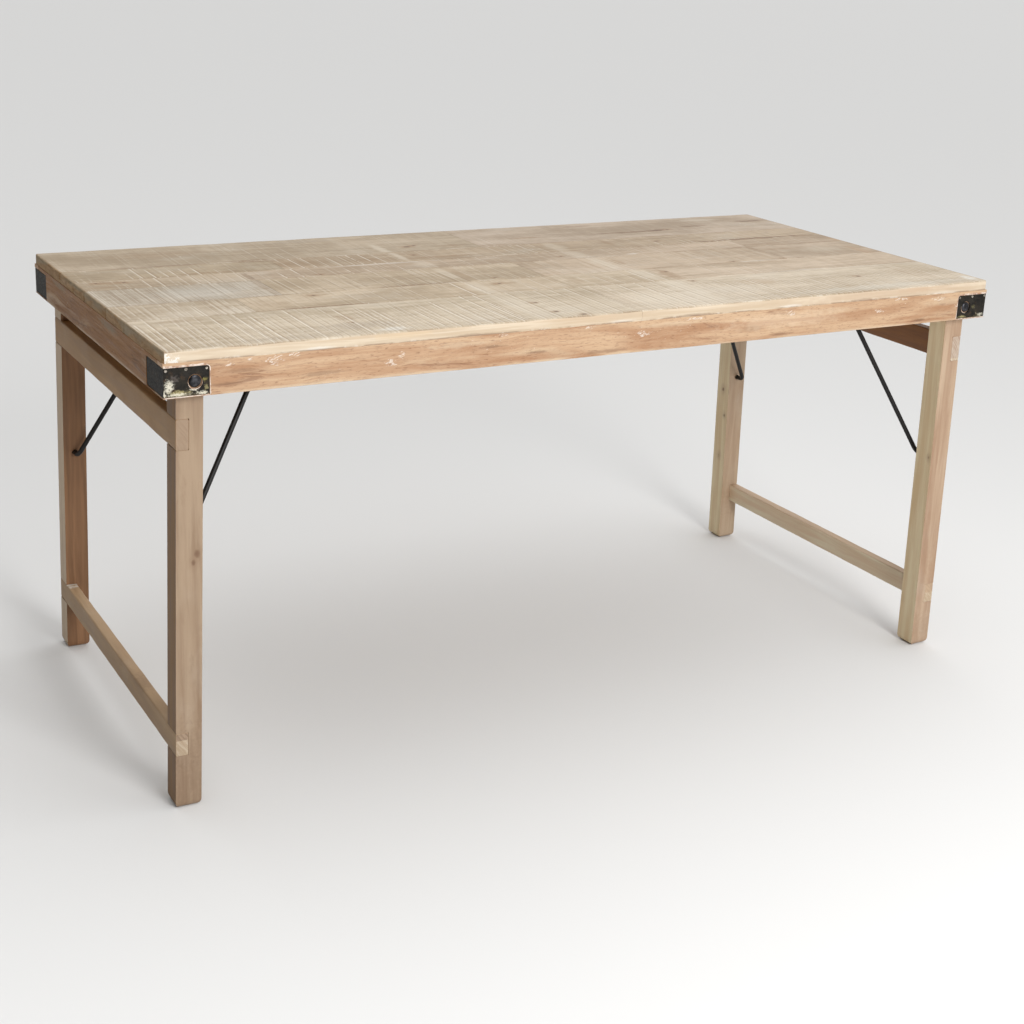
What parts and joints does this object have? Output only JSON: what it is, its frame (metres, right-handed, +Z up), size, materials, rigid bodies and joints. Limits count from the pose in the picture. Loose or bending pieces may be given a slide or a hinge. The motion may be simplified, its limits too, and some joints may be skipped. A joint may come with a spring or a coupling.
{
  "type": "folding table",
  "caption": "Rectangular plank-topped table with shallow aprons; two leg frames fold in on corner bolts and are held open by bent iron-rod stays.",
  "frame": {"origin": "centre of the table's footprint, on the floor", "axes": "+X along the table's length, +Y across it to the back long side, +Z up"},
  "size_m": [1.6, 0.7566, 0.754],
  "materials": {
    "top_boards": "weathered, band-sawn, limed",
    "aprons": "worn, waxed",
    "leg_wood": "planed, limed",
    "bracket_iron": "worn, patinated",
    "rod_iron": "black, satin",
    "bolt_steel": "blackened"
  },
  "bodies": {
    "table_top": {"board_row1_1": "top_boards", "board_row1_2": "top_boards", "board_row2_1": "top_boards", "board_row2_2": "top_boards", "board_row2_3": "top_boards", "board_row2_4": "top_boards", "board_row3_1": "top_boards", "board_row3_2": "top_boards", "board_row3_3": "top_boards", "board_row3_4": "top_boards", "board_row4_1": "top_boards", "board_row4_2": "top_boards", "board_row4_3": "top_boards", "board_row5_1": "top_boards", "board_row5_2": "top_boards", "board_row6_1": "top_boards", "board_row6_2": "top_boards", "apron_front": "aprons", "apron_back": "aprons", "apron_left": "aprons", "apron_right": "aprons", "cleat_left": "aprons", "cleat_middle": "aprons", "cleat_right": "aprons", "bracket_left_front": "bracket_iron", "bracket_left_back": "bracket_iron", "bracket_right_front": "bracket_iron", "bracket_right_back": "bracket_iron", "pivot_bolt_left_front": "bolt_steel", "pivot_bolt_left_back": "bolt_steel", "pivot_bolt_right_front": "bolt_steel", "pivot_bolt_right_back": "bolt_steel", "washer_left_front": "bolt_steel", "washer_left_back": "bolt_steel", "washer_right_front": "bolt_steel", "washer_right_back": "bolt_steel", "nut_left_front": "bolt_steel", "nut_left_back": "bolt_steel", "nut_right_front": "bolt_steel", "nut_right_back": "bolt_steel", "stay_hanger_left_front": "rod_iron", "stay_hanger_left_back": "rod_iron", "stay_hanger_right_front": "rod_iron", "stay_hanger_right_back": "rod_iron"},
    "leg_frame_left": {"leg_left_front": "leg_wood", "leg_left_back": "leg_wood", "upper_rail_left": "leg_wood", "lower_stretcher_left": "leg_wood"},
    "leg_frame_right": {"leg_right_front": "leg_wood", "leg_right_back": "leg_wood", "upper_rail_right": "leg_wood", "lower_stretcher_right": "leg_wood"},
    "stay_left": {"stay_rod_left": "rod_iron"},
    "stay_right": {"stay_rod_right": "rod_iron"}
  },
  "joints": [
    {"name": "leg_fold_left", "type": "hinge", "parent": "table_top", "child": "leg_frame_left", "pos_m": [-0.7515, 0, 0.706], "axis": [0, -1, 0], "range_deg": [0, 91.13]},
    {"name": "leg_fold_right", "type": "hinge", "parent": "table_top", "child": "leg_frame_right", "pos_m": [0.7515, 0, 0.706], "axis": [0, 1, 0], "range_deg": [0, 91.13]},
    {"name": "stay_swing_left", "type": "hinge", "parent": "table_top", "child": "stay_left", "pos_m": [-0.571, 0, 0.7295], "axis": [0, -1, 0], "range_deg": [0, 118]},
    {"name": "stay_swing_right", "type": "hinge", "parent": "table_top", "child": "stay_right", "pos_m": [0.571, 0, 0.7295], "axis": [0, 1, 0], "range_deg": [0, 118]}
  ]
}
